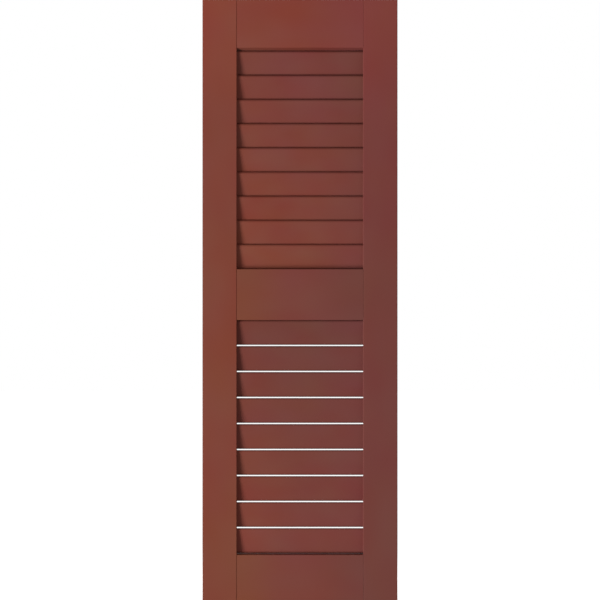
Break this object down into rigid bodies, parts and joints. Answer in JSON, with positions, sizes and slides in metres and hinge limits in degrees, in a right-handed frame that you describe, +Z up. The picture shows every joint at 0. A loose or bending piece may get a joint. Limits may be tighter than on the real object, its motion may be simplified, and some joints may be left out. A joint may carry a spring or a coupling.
{
  "type": "louvred shutter",
  "caption": "Painted wooden shutter panel with stiles, rails and fixed leaning louvres, to fix to a wall beside a window or to hang at its edge.",
  "frame": {"origin": "centre of the back face, at half the panel's height and half its width", "axes": "+Z up, +Y out of the back face towards the wall, so the front faces -Y; +X is to the right seen from the front"},
  "size_m": [0.381, 0.0318, 1.176],
  "materials": {
    "frame_paint": "satin barn-red paint on the stiles and rails",
    "louvre_paint": "satin barn-red paint on the louvres",
    "dowel_beech": "bare turned beech"
  },
  "bodies": {
    "root": {"left_stile": "frame_paint", "right_stile": "frame_paint", "top_rail": "frame_paint", "middle_rail": "frame_paint", "bottom_rail": "frame_paint", "top_rail_dowels": "dowel_beech", "middle_rail_dowels": "dowel_beech", "bottom_rail_dowels": "dowel_beech", "upper_louvre_1": "louvre_paint", "upper_louvre_2": "louvre_paint", "upper_louvre_3": "louvre_paint", "upper_louvre_4": "louvre_paint", "upper_louvre_5": "louvre_paint", "upper_louvre_6": "louvre_paint", "upper_louvre_7": "louvre_paint", "upper_louvre_8": "louvre_paint", "upper_louvre_9": "louvre_paint", "lower_louvre_1": "louvre_paint", "lower_louvre_2": "louvre_paint", "lower_louvre_3": "louvre_paint", "lower_louvre_4": "louvre_paint", "lower_louvre_5": "louvre_paint", "lower_louvre_6": "louvre_paint", "lower_louvre_7": "louvre_paint", "lower_louvre_8": "louvre_paint", "lower_louvre_9": "louvre_paint"}
  },
  "joints": []
}
